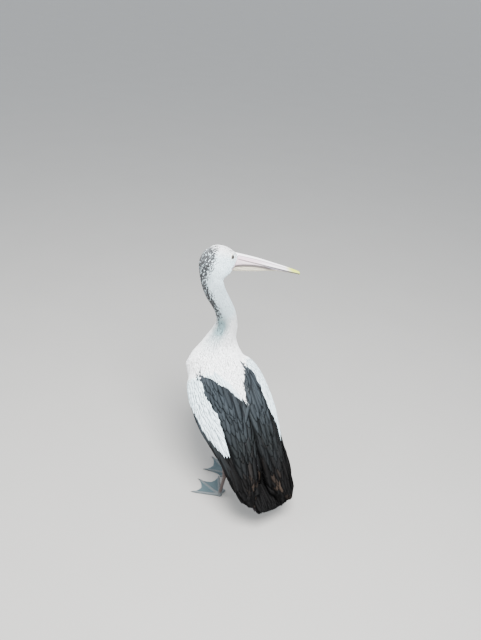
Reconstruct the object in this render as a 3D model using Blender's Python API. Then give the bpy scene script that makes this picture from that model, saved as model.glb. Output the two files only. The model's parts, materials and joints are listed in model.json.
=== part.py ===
"""A standing Australian pelican, life size, in closed solids: one node for each part of the body.

Metres and degrees. The bird faces -Y, its left side is +X, and it stands on the floor at Z = 0.
The body is a loft of upright rings along its middle line, parted by thin cuts.
"""
import math

import bmesh
import bpy
from mathutils import Matrix, Vector

# Cuts between neighbouring pieces, and how far a guide reaches past the piece it cuts beside
CUT = 0.0003
GUIDE_REACH = 0.02

# The trunk's straight middle line: where it starts at the shoulders, and how steeply it climbs
SHOULDER = Vector((0.010, -0.130, 0.470))
BODY_CLIMB = 38.0
BODY_TURN = 4.0     # the trunk points a little to the left of the way the feet do
AROUND = 26

# Trunk rings on that line: distance behind the shoulders, half width, depth to the back and to the belly
TRUNK_RINGS = (
    (0.415, 0.012, 0.008, 0.008),   # end of the rump, under the tail
    (0.385, 0.046, 0.028, 0.026),   # root of the tail
    (0.300, 0.090, 0.064, 0.068),   # rump
    (0.200, 0.124, 0.100, 0.108),   # loins
    (0.100, 0.140, 0.124, 0.132),   # back and keel
    (0.000, 0.136, 0.124, 0.134),   # shoulders
)

# Rings of the neck: centre, heading to the left, climb, half width, depth to the nape and to the throat
NECK_RINGS = (
    (0.032, -0.200, 0.564, 4.0, 50.0, 0.126, 0.092, 0.106),     # top of the breast
    (0.003, -0.206, 0.632, 0.0, 72.0, 0.078, 0.062, 0.070),    # root of the neck
    (-0.019, -0.194, 0.704, -6.0, 92.0, 0.050, 0.048, 0.048),
    (-0.003, -0.178, 0.775, -14.0, 98.0, 0.045, 0.043, 0.043),
    (0.028, -0.166, 0.836, -36.0, 106.0, 0.045, 0.044, 0.041),
    (0.055, -0.158, 0.885, -58.0, 104.0, 0.043, 0.049, 0.042),
    (0.078, -0.150, 0.934, -72.0, 88.0, 0.042, 0.051, 0.047),
)
NECK_ROOT = 1       # ring where the trunk ends and the neck starts
NECK_MIDDLE = 4     # ring that parts the neck's two lengths

# The head: centre, heading and climb of the bill
HEAD_CENTRE = Vector((0.050, -0.156, 1.050))
HEAD_TURN = -77.0
BILL_CLIMB = -21.4

# Head rings in the bird's middle plane, forward and up from the centre: upper end, lower end, half width
HEAD_RINGS = (
    (-0.075, -0.069, 0.050, -0.093, 0.0400),    # joint with the neck
    (-0.088, -0.032, 0.052, -0.089, 0.0420),    # nape
    (-0.079, 0.006, 0.054, -0.085, 0.0435),
    (-0.048, 0.035, 0.058, -0.080, 0.0425),     # back of the crown
    (-0.009, 0.043, 0.062, -0.075, 0.0405),     # ears
    (0.028, 0.039, 0.067, -0.069, 0.0360),      # eyes
    (0.054, 0.030, 0.070, -0.063, 0.0300),      # face
    (0.074, 0.0245, 0.074, -0.057, 0.0245),     # feather line at the bill
)
CHEEK = 1.15            # how far below the upper end a head ring is widest, in half widths
EYE_PLACE = (0.028, 0.013, 0.0300)      # forward, up and out from the head's centre
EYE_RADIUS = 0.0085

# The bill along its own line: share of its length, half width, height above and depth below the gape
BILL_LENGTH = 0.430
BILL_UPPER = (
    (0.000, 0.0235, 0.0185),
    (0.120, 0.0220, 0.0198),
    (0.310, 0.0195, 0.0203),
    (0.520, 0.0180, 0.0175),
    (0.800, 0.0175, 0.0130),
    (0.930, 0.0155, 0.0100),
)
BILL_LOWER = (
    (0.000, 0.0225, 0.0570),
    (0.120, 0.0195, 0.0495),
    (0.310, 0.0165, 0.0370),
    (0.460, 0.0150, 0.0255),
    (0.600, 0.0135, 0.0150),
    (0.800, 0.0115, 0.0085),
    (0.965, 0.0080, 0.0050),
)
GAPE = (0.0055, -0.0160)        # height of the gape on the head's middle line, at its root and its end
LIP = 0.0006            # swell of the two halves towards each other
# The nail: share of its length, shares of the bill's half width and height there, depth, drop and lean
NAIL_ROWS = (
    (0.00, 1.00, 1.00, 0.0006, 0.0000, 0.0),
    (0.20, 0.98, 0.91, 0.0006, 0.0000, 0.0),
    (0.40, 0.92, 0.82, 0.0006, 0.0000, 0.0),
    (0.60, 0.81, 0.73, 0.0006, 0.0000, 0.0),
    (0.80, 0.63, 0.62, 0.0026, 0.0045, -20.0),
    (1.00, 0.24, 0.45, 0.0006, 0.0090, -40.0),
)
BILL_AROUND = 18

# Folded wing: distance behind the shoulders, out from the middle, above the body's line, half width,
# depth above and below that
WING_RINGS = (
    (-0.100, 0.030, 0.000, 0.060, 0.050, 0.040),
    (-0.062, 0.026, 0.000, 0.118, 0.100, 0.066),
    (0.000, 0.020, 0.000, 0.150, 0.131, 0.084),
    (0.090, 0.020, 0.000, 0.158, 0.139, 0.090),    # the widest part, at the forearm
    (0.190, 0.026, 0.003, 0.148, 0.119, 0.070),
    (0.290, 0.034, 0.012, 0.120, 0.078, 0.034),
    (0.380, 0.046, 0.018, 0.092, 0.042, 0.012),
    (0.450, 0.060, 0.016, 0.068, 0.024, 0.009),
    (0.506, 0.074, 0.011, 0.042, 0.014, 0.007),
    (0.536, 0.082, 0.008, 0.014, 0.007, 0.005),    # tips of the primaries
)
# Side, how much further out the wing is held at the shoulder and at the tip, and its length's share
WINGS = (("left", 0.004, 0.020, 0.94), ("right", 0.000, -0.002, 1.03))
WING_AROUND = 32

# The mantle ends in a point this far behind the shoulders; its edge runs out to a place behind and out
MANTLE_POINT = 0.145
MANTLE_EDGE = (-0.070, 0.096)

# Tail: distance behind the shoulders, half width, half thickness, and drop below the body's line
TAIL_RINGS = (
    (0.340, 0.030, 0.011, 0.022),
    (0.400, 0.052, 0.011, 0.020),
    (0.470, 0.074, 0.008, 0.014),
    (0.530, 0.080, 0.005, 0.012),
    (0.562, 0.064, 0.004, 0.012),
    (0.574, 0.022, 0.003, 0.012),
)
TAIL_AROUND = 24

# Legs: side, middle of the foot's joint on the floor, heading of the foot, ankle, and top of the thigh
LEGS = (
    ("left", (0.089, 0.060), 18.0, (0.080, 0.074, 0.126), (0.074, -0.010, 0.300)),
    ("right", (-0.008, -0.041), 8.0, (-0.016, -0.026, 0.126), (-0.066, -0.056, 0.310)),
)
FEATHERED_FROM = 0.22   # share of the way from the ankle to the thigh's top where the feathers start
THIGH_ROWS = ((0.0, 0.0125), (0.2, 0.020), (0.45, 0.030), (0.75, 0.040), (1.25, 0.046))     # share, radius
SHANK_LOW = ((0.0, 0.0090), (0.11, 0.0070), (0.5, 0.0065), (0.88, 0.0077), (1.0, 0.0095))
SHANK_HIGH = ((0.35, 0.0077), (1.0, 0.0080))
JOINT_HEIGHT = 0.016
KNUCKLE_RADIUS = 0.0105
KNUCKLE_HEIGHT = 0.009

# Toes: angle from the foot's heading towards the outside, and length
TOES = ((-80.0, 0.040), (-42.0, 0.112), (0.0, 0.128), (38.0, 0.118))
# Along a toe: share of its length, height of its middle, radius; the last three rows are the claw
TOE_ROWS = (
    (0.0, 0.0060, 0.0068),
    (0.3, 0.0048, 0.0056),
    (0.6, 0.0042, 0.0050),
    (0.9, 0.0040, 0.0045),
    (1.0, 0.0030, 0.0028),
    (1.08, 0.0012, 0.0008),
)
WEB_HEIGHT = 0.0012
WEB_THICKNESS = 0.0024
WEB_HOLLOW = 0.80       # how far out the web's edge reaches between two toes
WEB_RIM = 0.97          # how far out it reaches along a toe
RIM_STEPS = 4

# Colour, roughness
FINISHES = {
    "white_feather": ((0.86, 0.87, 0.88), 0.75),
    "dark_feather": ((0.030, 0.030, 0.034), 0.55),
    "bill_pink": ((0.80, 0.62, 0.60), 0.40),
    "pouch": ((0.78, 0.70, 0.56), 0.50),
    "nail_yellow": ((0.72, 0.66, 0.20), 0.40),
    "eye_dark": ((0.020, 0.012, 0.010), 0.08),
    "leg_skin": ((0.27, 0.22, 0.23), 0.60),
    "web_skin": ((0.20, 0.29, 0.34), 0.55),
}


def clear_scene():
    for item in list(bpy.data.objects):
        bpy.data.objects.remove(item, do_unlink=True)


def finish(name):
    """The material of that name, made once."""
    found = bpy.data.materials.get(name)
    if found:
        return found
    colour, roughness = FINISHES[name]
    made = bpy.data.materials.new(name)
    made.use_nodes = True
    shader = made.node_tree.nodes["Principled BSDF"]
    shader.inputs["Base Color"].default_value = (*colour, 1.0)
    shader.inputs["Roughness"].default_value = roughness
    shader.inputs["Metallic"].default_value = 0.0
    return made


def add_object(name, bm, material=None):
    """A closed mesh as an object under the bird's empty; one without a material is a guide."""
    bmesh.ops.recalc_face_normals(bm, faces=bm.faces)
    mesh = bpy.data.meshes.new(name)
    bm.to_mesh(mesh)
    bm.free()
    piece = bpy.data.objects.new(name, mesh)
    bpy.context.collection.objects.link(piece)
    piece.parent = bpy.data.objects["pelican"]
    if material:
        mesh.materials.append(finish(material))
        mesh.shade_smooth()
    else:
        piece.hide_render = True
        piece.display_type = "WIRE"
    return piece


def combine(piece, other, operation):
    step = piece.modifiers.new(operation.lower(), "BOOLEAN")
    step.operation = operation
    step.solver = "EXACT"
    step.object = other


def curve_at(keys, place):
    """A smooth curve through equally spaced rows of numbers, at a place counted in rows."""
    row = min(int(place), len(keys) - 2)
    part = place - row
    here, after = keys[row], keys[row + 1]
    before = keys[row - 1] if row else [2 * a - b for a, b in zip(here, after)]
    last = keys[row + 2] if row + 2 < len(keys) else [2 * b - a for a, b in zip(here, after)]
    weights = (
        (-part + 2 * part**2 - part**3) / 2,
        (2 - 5 * part**2 + 3 * part**3) / 2,
        (part + 4 * part**2 - 3 * part**3) / 2,
        (part**3 - part**2) / 2,
    )
    return [sum(w * n for w, n in zip(weights, column)) for column in zip(before, here, after, last)]


def resample(keys, steps, start=0, end=None):
    """Rows on the smooth curve through the keys, with a number of steps from key to key."""
    end = len(keys) - 1 if end is None else end
    count = int(round((end - start) * steps))
    return [curve_at(keys, start + i / steps) for i in range(count + 1)]


def ring_axes(heading, climb):
    """Axes of a ring across a line with that heading and climb: left, back and forward."""
    turn = Matrix.Rotation(math.radians(heading), 3, "Z")
    rise = math.radians(climb)
    left = turn @ Vector((1, 0, 0))
    back = turn @ Vector((0, math.sin(rise), math.cos(rise)))
    return left, back, left.cross(back)


def body_point(behind, out=0.0, above=0.0):
    """A place given along the trunk's middle line, out to the left and above it."""
    left, back, forward = ring_axes(BODY_TURN, BODY_CLIMB)
    return SHOULDER - forward * behind + left * out + back * above


def body_ring(behind, out, above, half_width, over, under):
    return [*body_point(behind, out, above), BODY_TURN, BODY_CLIMB, half_width, over, under]


def bill_ring(forward, up, half_width, over, under):
    return [*head_point(forward, up), HEAD_TURN, BILL_CLIMB, half_width, over, under]


def head_ring(top_forward, top_up, low_forward, low_up, half_width):
    """A ring between two places in the head's middle plane."""
    upper, lower = Vector((top_forward, top_up)), Vector((low_forward, low_up))
    over = half_width * CHEEK
    rise = upper - lower
    centre = upper - rise.normalized() * over
    lean = math.degrees(math.atan2(-rise.x, rise.y))
    return [*head_point(*centre), HEAD_TURN, BILL_CLIMB + lean, half_width, over, rise.length - over]


def head_point(forward, up, out=0.0):
    left, back, ahead = ring_axes(HEAD_TURN, BILL_CLIMB)
    return HEAD_CENTRE + ahead * forward + back * up + left * out


def add_ring(bm, row, segments, grow=0.0):
    """An egg-shaped ring of edges: centre, heading, climb, half width, depths over and under."""
    centre, (heading, climb, half_width, over, under) = Vector(row[:3]), row[3:]
    left, back, forward = ring_axes(heading, climb)
    verts = bmesh.ops.create_circle(bm, segments=segments, radius=1.0)["verts"]
    for vert in verts:
        depth = over if vert.co.y > 0 else under
        vert.co = centre + left * vert.co.x * (half_width + grow) + back * vert.co.y * (depth + grow)
    return list({edge for vert in verts for edge in vert.link_edges})


def join_rings(bm, rings):
    for near, far in zip(rings, rings[1:]):
        bmesh.ops.bridge_loops(bm, edges=near + far)
    for end in (rings[0], rings[-1]):
        bmesh.ops.contextual_create(bm, geom=end)


def loft(rows, segments=AROUND, grow=0.0):
    """A closed body through a row of rings."""
    bm = bmesh.new()
    join_rings(bm, [add_ring(bm, row, segments, grow) for row in rows])
    return bm


def shift_end(rows, end, distance):
    """Moves the first or last ring along its own line, to leave a cut or to reach further."""
    row = list(rows[end])
    forward = ring_axes(row[3], row[4])[2]
    row[:3] = Vector(row[:3]) + forward * distance
    moved = list(rows)
    moved[end] = row
    return moved


def slice_off(bm, place, outward):
    """Takes away what lies past a plane and closes the cut."""
    everything = bm.verts[:] + bm.edges[:] + bm.faces[:]
    cut = bmesh.ops.bisect_plane(
        bm, geom=everything, dist=1e-7, plane_co=place, plane_no=outward, clear_outer=True)
    edges = [item for item in cut["geom_cut"] if isinstance(item, bmesh.types.BMEdge)]
    bmesh.ops.contextual_create(bm, geom=edges)


def tube(bm, places, radii, segments):
    """A closed tube along a few places, its rings across the way it runs."""
    rings = []
    for index, (place, radius) in enumerate(zip(places, radii)):
        ahead = places[min(index + 1, len(places) - 1)] - places[max(index - 1, 0)]
        frame = ahead.to_track_quat("Z", "Y").to_matrix().to_4x4()
        frame.translation = place
        made = bmesh.ops.create_circle(bm, segments=segments, radius=radius, matrix=frame)
        rings.append(list({edge for vert in made["verts"] for edge in vert.link_edges}))
    join_rings(bm, rings)


def make_trunk(line):
    """The trunk, from the rump to the root of the neck, and a guide that is larger by one cut."""
    joint = len(TRUNK_RINGS) + NECK_ROOT
    rows = resample(line, 2, 0, joint)
    add_object("trunk", loft(shift_end(rows, -1, -CUT / 2)), "white_feather")
    return add_object("trunk_guide", loft(shift_end(rows + rows[-1:], -1, GUIDE_REACH), grow=2 * CUT))


def make_neck(line):
    start = len(TRUNK_RINGS) + NECK_ROOT
    middle = len(TRUNK_RINGS) + NECK_MIDDLE
    end = len(TRUNK_RINGS) + len(NECK_RINGS)
    for name, first, last in (("neck_lower", start, middle), ("neck_upper", middle, end)):
        rows = resample(line, 3, first, last)
        rows = shift_end(shift_end(rows, 0, CUT / 2), -1, -CUT / 2)
        add_object(name, loft(rows), "white_feather")


def make_head(line):
    start = len(TRUNK_RINGS) + len(NECK_RINGS)
    rows = resample(line, 2, start, len(line) - 1)
    head = add_object("head", loft(shift_end(rows, 0, CUT / 2)), "white_feather")
    forward, up, out = EYE_PLACE
    for side, sign in (("left", 1), ("right", -1)):
        centre = head_point(forward, up, out * sign)
        eye = ball(centre, EYE_RADIUS)
        socket = ball(centre, EYE_RADIUS + CUT)
        add_object("eye_" + side, eye, "eye_dark")
        combine(head, add_object("socket_" + side, socket), "DIFFERENCE")


def ball(centre, radius, segments=12):
    bm = bmesh.new()
    bmesh.ops.create_uvsphere(
        bm, u_segments=segments, v_segments=segments // 2 + 2, radius=radius,
        matrix=Matrix.Translation(centre))
    return bm


def bill_rows(table, above):
    """Rings of half a bill: nearly flat at the gape and rounded away from it."""
    rows = []
    for share, half_width, depth in resample(table, 3):
        forward = HEAD_RINGS[-1][0] + CUT + share * BILL_LENGTH
        up = GAPE[0] + (GAPE[1] - GAPE[0]) * share + (LIP + CUT / 2) * (1 if above else -1)
        over, under = (depth, LIP) if above else (LIP, depth)
        rows.append(bill_ring(forward, up, half_width, over, under))
    return rows


def make_bill():
    upper = bill_rows(BILL_UPPER, above=True)
    lower = bill_rows(BILL_LOWER, above=False)
    add_object("bill_upper", loft(upper, BILL_AROUND), "bill_pink")
    add_object("bill_lower", loft(lower, BILL_AROUND), "pouch")

    # The nail carries on from the upper bill and hooks down in front of the lower one
    back = ring_axes(HEAD_TURN, BILL_CLIMB)[1]
    reach = (1.0 - BILL_UPPER[-1][0]) * BILL_LENGTH
    hook = []
    for share, half_width, height, depth, drop, lean in NAIL_ROWS:
        row = shift_end(upper, -1, CUT + reach * share)[-1]
        row[:3] = Vector(row[:3]) - back * drop
        row[4:] = row[4] + lean, row[5] * half_width, row[6] * height, depth
        hook.append(row)
    add_object("nail", loft(hook, BILL_AROUND), "nail_yellow")


def to_side(bm, side):
    """Turns a left wing into the wing of the side asked for."""
    if side == "right":
        middle = Matrix.Translation(SHOULDER) @ Matrix.Rotation(math.radians(BODY_TURN), 4, "Z")
        flip = middle @ Matrix.Diagonal((-1, 1, 1, 1)) @ middle.inverted()
        bmesh.ops.transform(bm, matrix=flip, verts=bm.verts)
    return bm


def make_wing(side, front, rear, length, trunk_guide):
    """A folded wing laid against the trunk, and a guide that is larger by one cut."""
    rows = []
    for behind, out, *rest in resample(WING_RINGS, 2):
        share = behind / WING_RINGS[-1][0]
        rows.append(body_ring(behind * length, out + front + (rear - front) * share, *rest))
    bm = loft(rows, WING_AROUND)
    left, back, _ = ring_axes(BODY_TURN, BODY_CLIMB)
    slice_off(bm, body_point(0.0, CUT / 2), -left)

    # The mantle's edge runs from its point on the back out to the shoulder
    behind, out = MANTLE_EDGE
    along = body_point(behind, out) - body_point(MANTLE_POINT)
    slice_off(bm, body_point(MANTLE_POINT), along.cross(back).normalized())
    wing = add_object("wing_" + side, to_side(bm, side), "dark_feather")
    combine(wing, trunk_guide, "DIFFERENCE")
    return add_object("wing_guide_" + side, to_side(loft(rows, WING_AROUND, CUT), side))


def make_tail(trunk_guide):
    rows = [body_ring(behind, 0.0, -drop, half, thick, thick)
            for behind, half, thick, drop in resample(TAIL_RINGS, 2)]
    tail = add_object("tail", loft(rows, TAIL_AROUND), "dark_feather")
    combine(tail, trunk_guide, "DIFFERENCE")


def make_leg(side, foot, heading, ankle, hip, guides):
    foot, ankle, hip = Vector((*foot, 0.0)), Vector(ankle), Vector(hip)
    joint = foot + Vector((0, 0, JOINT_HEIGHT + CUT))
    bare = ankle.lerp(hip, FEATHERED_FROM)

    thigh = bmesh.new()
    tube(thigh, [bare.lerp(hip, share) for share, _ in THIGH_ROWS], [row[1] for row in THIGH_ROWS], 18)
    thigh = add_object("thigh_" + side, thigh, "white_feather")
    for guide in guides:
        combine(thigh, guide, "DIFFERENCE")

    # The bare leg runs from the foot's joint to the ankle and on to just below the feathers
    shank = bmesh.new()
    top = bare + (ankle - bare).normalized() * CUT
    places = [joint.lerp(ankle, share) for share, _ in SHANK_LOW]
    places += [ankle.lerp(top, share) for share, _ in SHANK_HIGH]
    tube(shank, places, [row[1] for row in SHANK_LOW + SHANK_HIGH], 14)
    slice_off(shank, joint, Vector((0, 0, -1)))
    add_object("shank_" + side, shank, "leg_skin")
    make_foot(side, foot, heading)


def make_floor_guide():
    bm = bmesh.new()
    bmesh.ops.create_cube(bm, size=1.0, matrix=Matrix.Translation((0, 0, -0.5)))
    add_object("floor_guide", bm)


def make_web(foot, tips):
    """A flat web between the toes, with a hollow edge from each toe to the next."""
    rim = [foot]
    for near, far in zip(tips, tips[1:]):
        for step in range(RIM_STEPS):
            share = step / RIM_STEPS
            reach = WEB_RIM * (1.0 - (1.0 - WEB_HOLLOW) * math.sin(math.pi * share))
            rim.append(foot + near.lerp(far, share) * reach)
    rim.append(foot + tips[-1] * WEB_RIM)
    web = bmesh.new()
    face = web.faces.new([web.verts.new(place + Vector((0, 0, WEB_HEIGHT))) for place in rim])
    raised = bmesh.ops.extrude_face_region(web, geom=[face])["geom"]
    upper = [item for item in raised if isinstance(item, bmesh.types.BMVert)]
    bmesh.ops.translate(web, vec=(0, 0, WEB_THICKNESS), verts=upper)
    return web


def make_foot(side, foot, heading):
    """Four toes joined by one web, with claws, all cut level on the floor."""
    outside = 1 if side == "left" else -1
    turns = [Matrix.Rotation(math.radians(heading + angle * outside), 3, "Z") for angle, _ in TOES]
    tips = [turn @ Vector((0, -length, 0)) for turn, (_, length) in zip(turns, TOES)]
    piece = add_object("foot_" + side, make_web(foot, tips), "web_skin")

    knuckle = ball(foot + Vector((0, 0, KNUCKLE_HEIGHT)), KNUCKLE_RADIUS)
    slice_off(knuckle, foot + Vector((0, 0, JOINT_HEIGHT)), Vector((0, 0, 1)))
    combine(piece, add_object("knuckle_" + side, knuckle), "UNION")
    for index, tip in enumerate(tips):
        toe = bmesh.new()
        places = [foot + tip * share + Vector((0, 0, height)) for share, height, _ in TOE_ROWS]
        tube(toe, places, [radius for *_, radius in TOE_ROWS], 8)
        combine(piece, add_object(f"toe_{side}_{index}", toe), "UNION")
    combine(piece, bpy.data.objects["floor_guide"], "DIFFERENCE")


def stand_on_origin(root):
    """Moves the whole bird so that the floor's origin is under the middle of its box."""
    bpy.context.view_layer.update()
    graph = bpy.context.evaluated_depsgraph_get()
    corners = []
    for piece in bpy.data.objects:
        if piece.type == "MESH" and not piece.hide_render:
            shape = piece.evaluated_get(graph)
            corners += [piece.matrix_world @ vert.co for vert in shape.data.vertices]
    low = [min(corner[axis] for corner in corners) for axis in range(3)]
    high = [max(corner[axis] for corner in corners) for axis in range(3)]
    root.location = (-(low[0] + high[0]) / 2, -(low[1] + high[1]) / 2, -low[2])


def main():
    clear_scene()
    root = bpy.data.objects.new("pelican", None)
    bpy.context.collection.objects.link(root)
    line = [body_ring(behind, 0.0, 0.0, half, over, under) for behind, half, over, under in TRUNK_RINGS]
    line += [list(row) for row in NECK_RINGS]
    line += [head_ring(*row) for row in HEAD_RINGS]
    trunk_guide = make_trunk(line)
    make_neck(line)
    make_head(line)
    make_bill()
    wing_guides = {side: make_wing(side, *spread, trunk_guide) for side, *spread in WINGS}
    make_tail(trunk_guide)
    make_floor_guide()
    for side, foot, heading, ankle, hip in LEGS:
        make_leg(side, foot, heading, ankle, hip, (trunk_guide, wing_guides[side]))
    stand_on_origin(root)


main()
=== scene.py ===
import json
import math

import bmesh
import bpy
import numpy as np
from mathutils import Matrix, Vector
from mathutils.bvhtree import BVHTree
from mathutils.kdtree import KDTree


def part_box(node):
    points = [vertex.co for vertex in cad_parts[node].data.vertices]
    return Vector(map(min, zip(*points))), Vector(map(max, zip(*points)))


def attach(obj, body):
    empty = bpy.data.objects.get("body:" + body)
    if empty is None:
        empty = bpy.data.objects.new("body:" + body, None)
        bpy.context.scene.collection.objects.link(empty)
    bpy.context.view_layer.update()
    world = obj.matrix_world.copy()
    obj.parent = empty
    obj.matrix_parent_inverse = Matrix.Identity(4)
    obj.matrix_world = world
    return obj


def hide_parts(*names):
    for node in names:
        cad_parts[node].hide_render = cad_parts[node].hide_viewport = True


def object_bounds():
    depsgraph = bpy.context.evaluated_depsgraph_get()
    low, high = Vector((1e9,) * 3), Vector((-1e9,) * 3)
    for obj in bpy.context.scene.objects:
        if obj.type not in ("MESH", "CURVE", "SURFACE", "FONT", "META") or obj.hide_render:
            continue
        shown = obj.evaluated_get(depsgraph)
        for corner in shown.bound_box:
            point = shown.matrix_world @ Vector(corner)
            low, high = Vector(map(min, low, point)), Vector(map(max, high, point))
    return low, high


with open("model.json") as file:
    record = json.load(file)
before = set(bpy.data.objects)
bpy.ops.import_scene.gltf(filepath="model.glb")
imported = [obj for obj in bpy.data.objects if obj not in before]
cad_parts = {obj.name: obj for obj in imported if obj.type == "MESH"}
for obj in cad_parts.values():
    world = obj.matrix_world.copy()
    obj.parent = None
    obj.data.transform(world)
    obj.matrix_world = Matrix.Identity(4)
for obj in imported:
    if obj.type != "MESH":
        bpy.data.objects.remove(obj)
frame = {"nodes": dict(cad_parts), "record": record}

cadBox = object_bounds()
nodes = frame["nodes"]
draws = np.random.default_rng(41)
signs = {"left": 1.0, "right": -1.0}
flesh = ("trunk", "neck_lower", "neck_upper", "head", "wing_left", "wing_right", "tail",
         "thigh_left", "thigh_right")
print("frame loaded")


# Axes and places on the bird

def axesOf(turn, climb):
    # left, back and forward of a part with that heading and climb, in degrees
    turning = Matrix.Rotation(math.radians(turn), 3, "Z")
    rise = math.radians(climb)
    left = turning @ Vector((1, 0, 0))
    back = turning @ Vector((0, math.sin(rise), math.cos(rise)))
    return left, back, left.cross(back)


def middleOf(node):
    low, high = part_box(node)
    return (low + high) / 2


# shoulders sit at these shares of the trunk's box; the trunk climbs and turns as a whole
body = {"climb": 38.0, "turn": 4.0, "shoulderShares": (0.4954, 0.3179, 0.5912)}
# the head's middle is this far behind and below the middle of the two eyes
head = {"climb": -21.4, "turn": -77.0, "behindEyes": 0.028, "belowEyes": 0.013}

trunkLow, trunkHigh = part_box("trunk")
shoulder = Vector(low + (high - low) * share for low, high, share
                  in zip(trunkLow, trunkHigh, body["shoulderShares"]))
bodyLeft, bodyBack, bodyForward = axesOf(body["turn"], body["climb"])
headLeft, headUp, headForward = axesOf(head["turn"], head["climb"])
eyesMiddle = (middleOf("eye_left") + middleOf("eye_right")) / 2
headMiddle = eyesMiddle - headForward * head["behindEyes"] - headUp * head["belowEyes"]
leftWay, backWay, forwardWay = (np.array(axis) for axis in (bodyLeft, bodyBack, bodyForward))


def bodyPlace(behind, out=0.0, above=0.0):
    return shoulder - bodyForward * behind + bodyLeft * out + bodyBack * above


def headPlace(forward, up):
    return headMiddle + headForward * forward + headUp * up


def onBody(places):
    # behind the shoulders, out to the left and above the trunk's line, for many places at once
    offset = places - np.array(shoulder)
    return -offset @ forwardWay, offset @ leftWay, offset @ backWay


def onHead(places):
    # forward, up and out to the left of the head's middle
    offset = places - np.array(headMiddle)
    return offset @ np.array(headForward), offset @ np.array(headUp), offset @ np.array(headLeft)


def unit(rows):
    return rows / np.maximum(np.linalg.norm(rows, axis=-1, keepdims=True), 1e-12)


def fade(value, start, reach):
    # 0 at the start and 1 a reach further on; a reach below 0 goes the other way
    return np.clip((value - start) / reach, 0.0, 1.0)


def spread(rows):
    # each column from 0 to 1
    return (rows - rows.min(0)) / (rows.max(0) - rows.min(0))


def along(points, at):
    places, values = zip(*points)
    return np.interp(at, places, values)


def isKind(kinds, *names):
    # which rows belong to the named solids of flesh
    return np.isin(kinds, [flesh.index(name) for name in names])


def vertsOf(mesh):
    places = np.empty(len(mesh.vertices) * 3)
    mesh.vertices.foreach_get("co", places)
    return places.reshape(-1, 3)


# The line down the bird's middle, from the root of the bill to the tail

line = {
    "head": ((0.074, -0.012), (0.035, -0.008), (-0.005, -0.014), (-0.028, -0.048)),    # forward, up
    "neckSlices": 9, "sliceDepth": 0.018, "neckTop": 0.975, "neckFoot": 0.645,
    "trunk": (-0.03, 0.05, 0.13, 0.21, 0.29, 0.37, 0.45, 0.53),    # behind the shoulders
    "reach": 0.055,    # how far a station's pull is felt
}


def middleLine():
    neck = np.concatenate([vertsOf(nodes[name].data) for name in ("neck_lower", "neck_upper")])
    stations = [headPlace(*place) for place in line["head"]]
    for height in np.linspace(line["neckTop"], line["neckFoot"], line["neckSlices"]):
        ring = neck[abs(neck[:, 2] - height) < line["sliceDepth"]]
        stations.append(Vector((ring.min(0) + ring.max(0)) / 2))
    stations += [bodyPlace(behind) for behind in line["trunk"]]
    return np.array([tuple(place) for place in stations])


stations = middleLine()
neckRows = slice(len(line["head"]), len(line["head"]) + line["neckSlices"])
neckMiddles = np.array([tuple(headMiddle), *stations[neckRows]])[::-1]    # upwards
stationWays = unit(np.gradient(stations, axis=0))
stationArcs = np.concatenate([[0.0], np.cumsum(np.linalg.norm(np.diff(stations, axis=0), axis=1))])


def nearStations(places):
    # weights of the stations around each place
    gaps = ((places[:, None, :] - stations[None]) ** 2).sum(2)
    weights = np.exp((gaps.min(1, keepdims=True) - gaps) / line["reach"] ** 2)
    return weights / weights.sum(1, keepdims=True)


def arcOf(places):
    # how far down the middle line each place is
    return nearStations(places) @ stationArcs


# Materials: a small wrapper for node arithmetic, and one call for every other node

def colourValue(value):
    return value if isinstance(value, Wire) else (*value, 1.0)


class Wire:
    def __init__(self, shader, socket):
        self.shader, self.socket = shader, socket

    def __add__(self, other):
        return self.shader.maths("ADD", self, other)

    def __sub__(self, other):
        return self.shader.maths("SUBTRACT", self, other)

    def __rsub__(self, other):
        return self.shader.maths("SUBTRACT", other, self)

    def __mul__(self, other):
        return self.shader.maths("MULTIPLY", self, other)

    __radd__ = __add__
    __rmul__ = __mul__


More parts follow.
